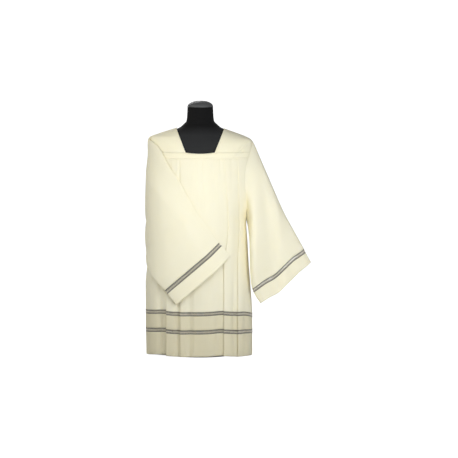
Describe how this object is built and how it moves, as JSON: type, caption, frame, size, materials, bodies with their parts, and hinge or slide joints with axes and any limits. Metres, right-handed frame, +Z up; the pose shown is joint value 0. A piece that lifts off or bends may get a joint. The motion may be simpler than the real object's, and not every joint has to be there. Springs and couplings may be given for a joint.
{
  "type": "surplice on a limbless dress form",
  "caption": "Wide-sleeved pleated surplice with a square neck and ladder lace, worn by a limbless dress form on a stand.",
  "frame": {"origin": "centre of the stand base's underside, on the floor", "axes": "+X to the wearer's left, -Y the front of the garment, +Z up the post"},
  "size_m": [0.7474, 0.3406, 1.1463],
  "materials": {
    "cloth": "ivory woven cloth, soft and matt",
    "lace": "ladder lace in grey and off-white thread",
    "cover": "black jersey drawn tight over padding",
    "cap": "dark grey satin with a low sheen",
    "steel": "pale grey satin paint"
  },
  "bodies": {
    "root": {"strap_right": "cloth", "strap_left": "cloth", "yoke_band_front": "cloth", "yoke_band_back": "cloth", "front_panel": "cloth", "front_band": "cloth", "front_hem": "cloth", "back_panel": "cloth", "back_band": "cloth", "back_hem": "cloth", "sleeve_right": "cloth", "sleeve_left": "cloth", "cuff_right": "cloth", "cuff_left": "cloth", "front_upper_lace": "lace", "front_lower_lace": "lace", "back_upper_lace": "lace", "back_lower_lace": "lace", "sleeve_lace_right": "lace", "sleeve_lace_left": "lace", "form_body": "cover", "form_cap": "cap", "stand_post": "steel", "stand_base": "steel"}
  },
  "joints": []
}
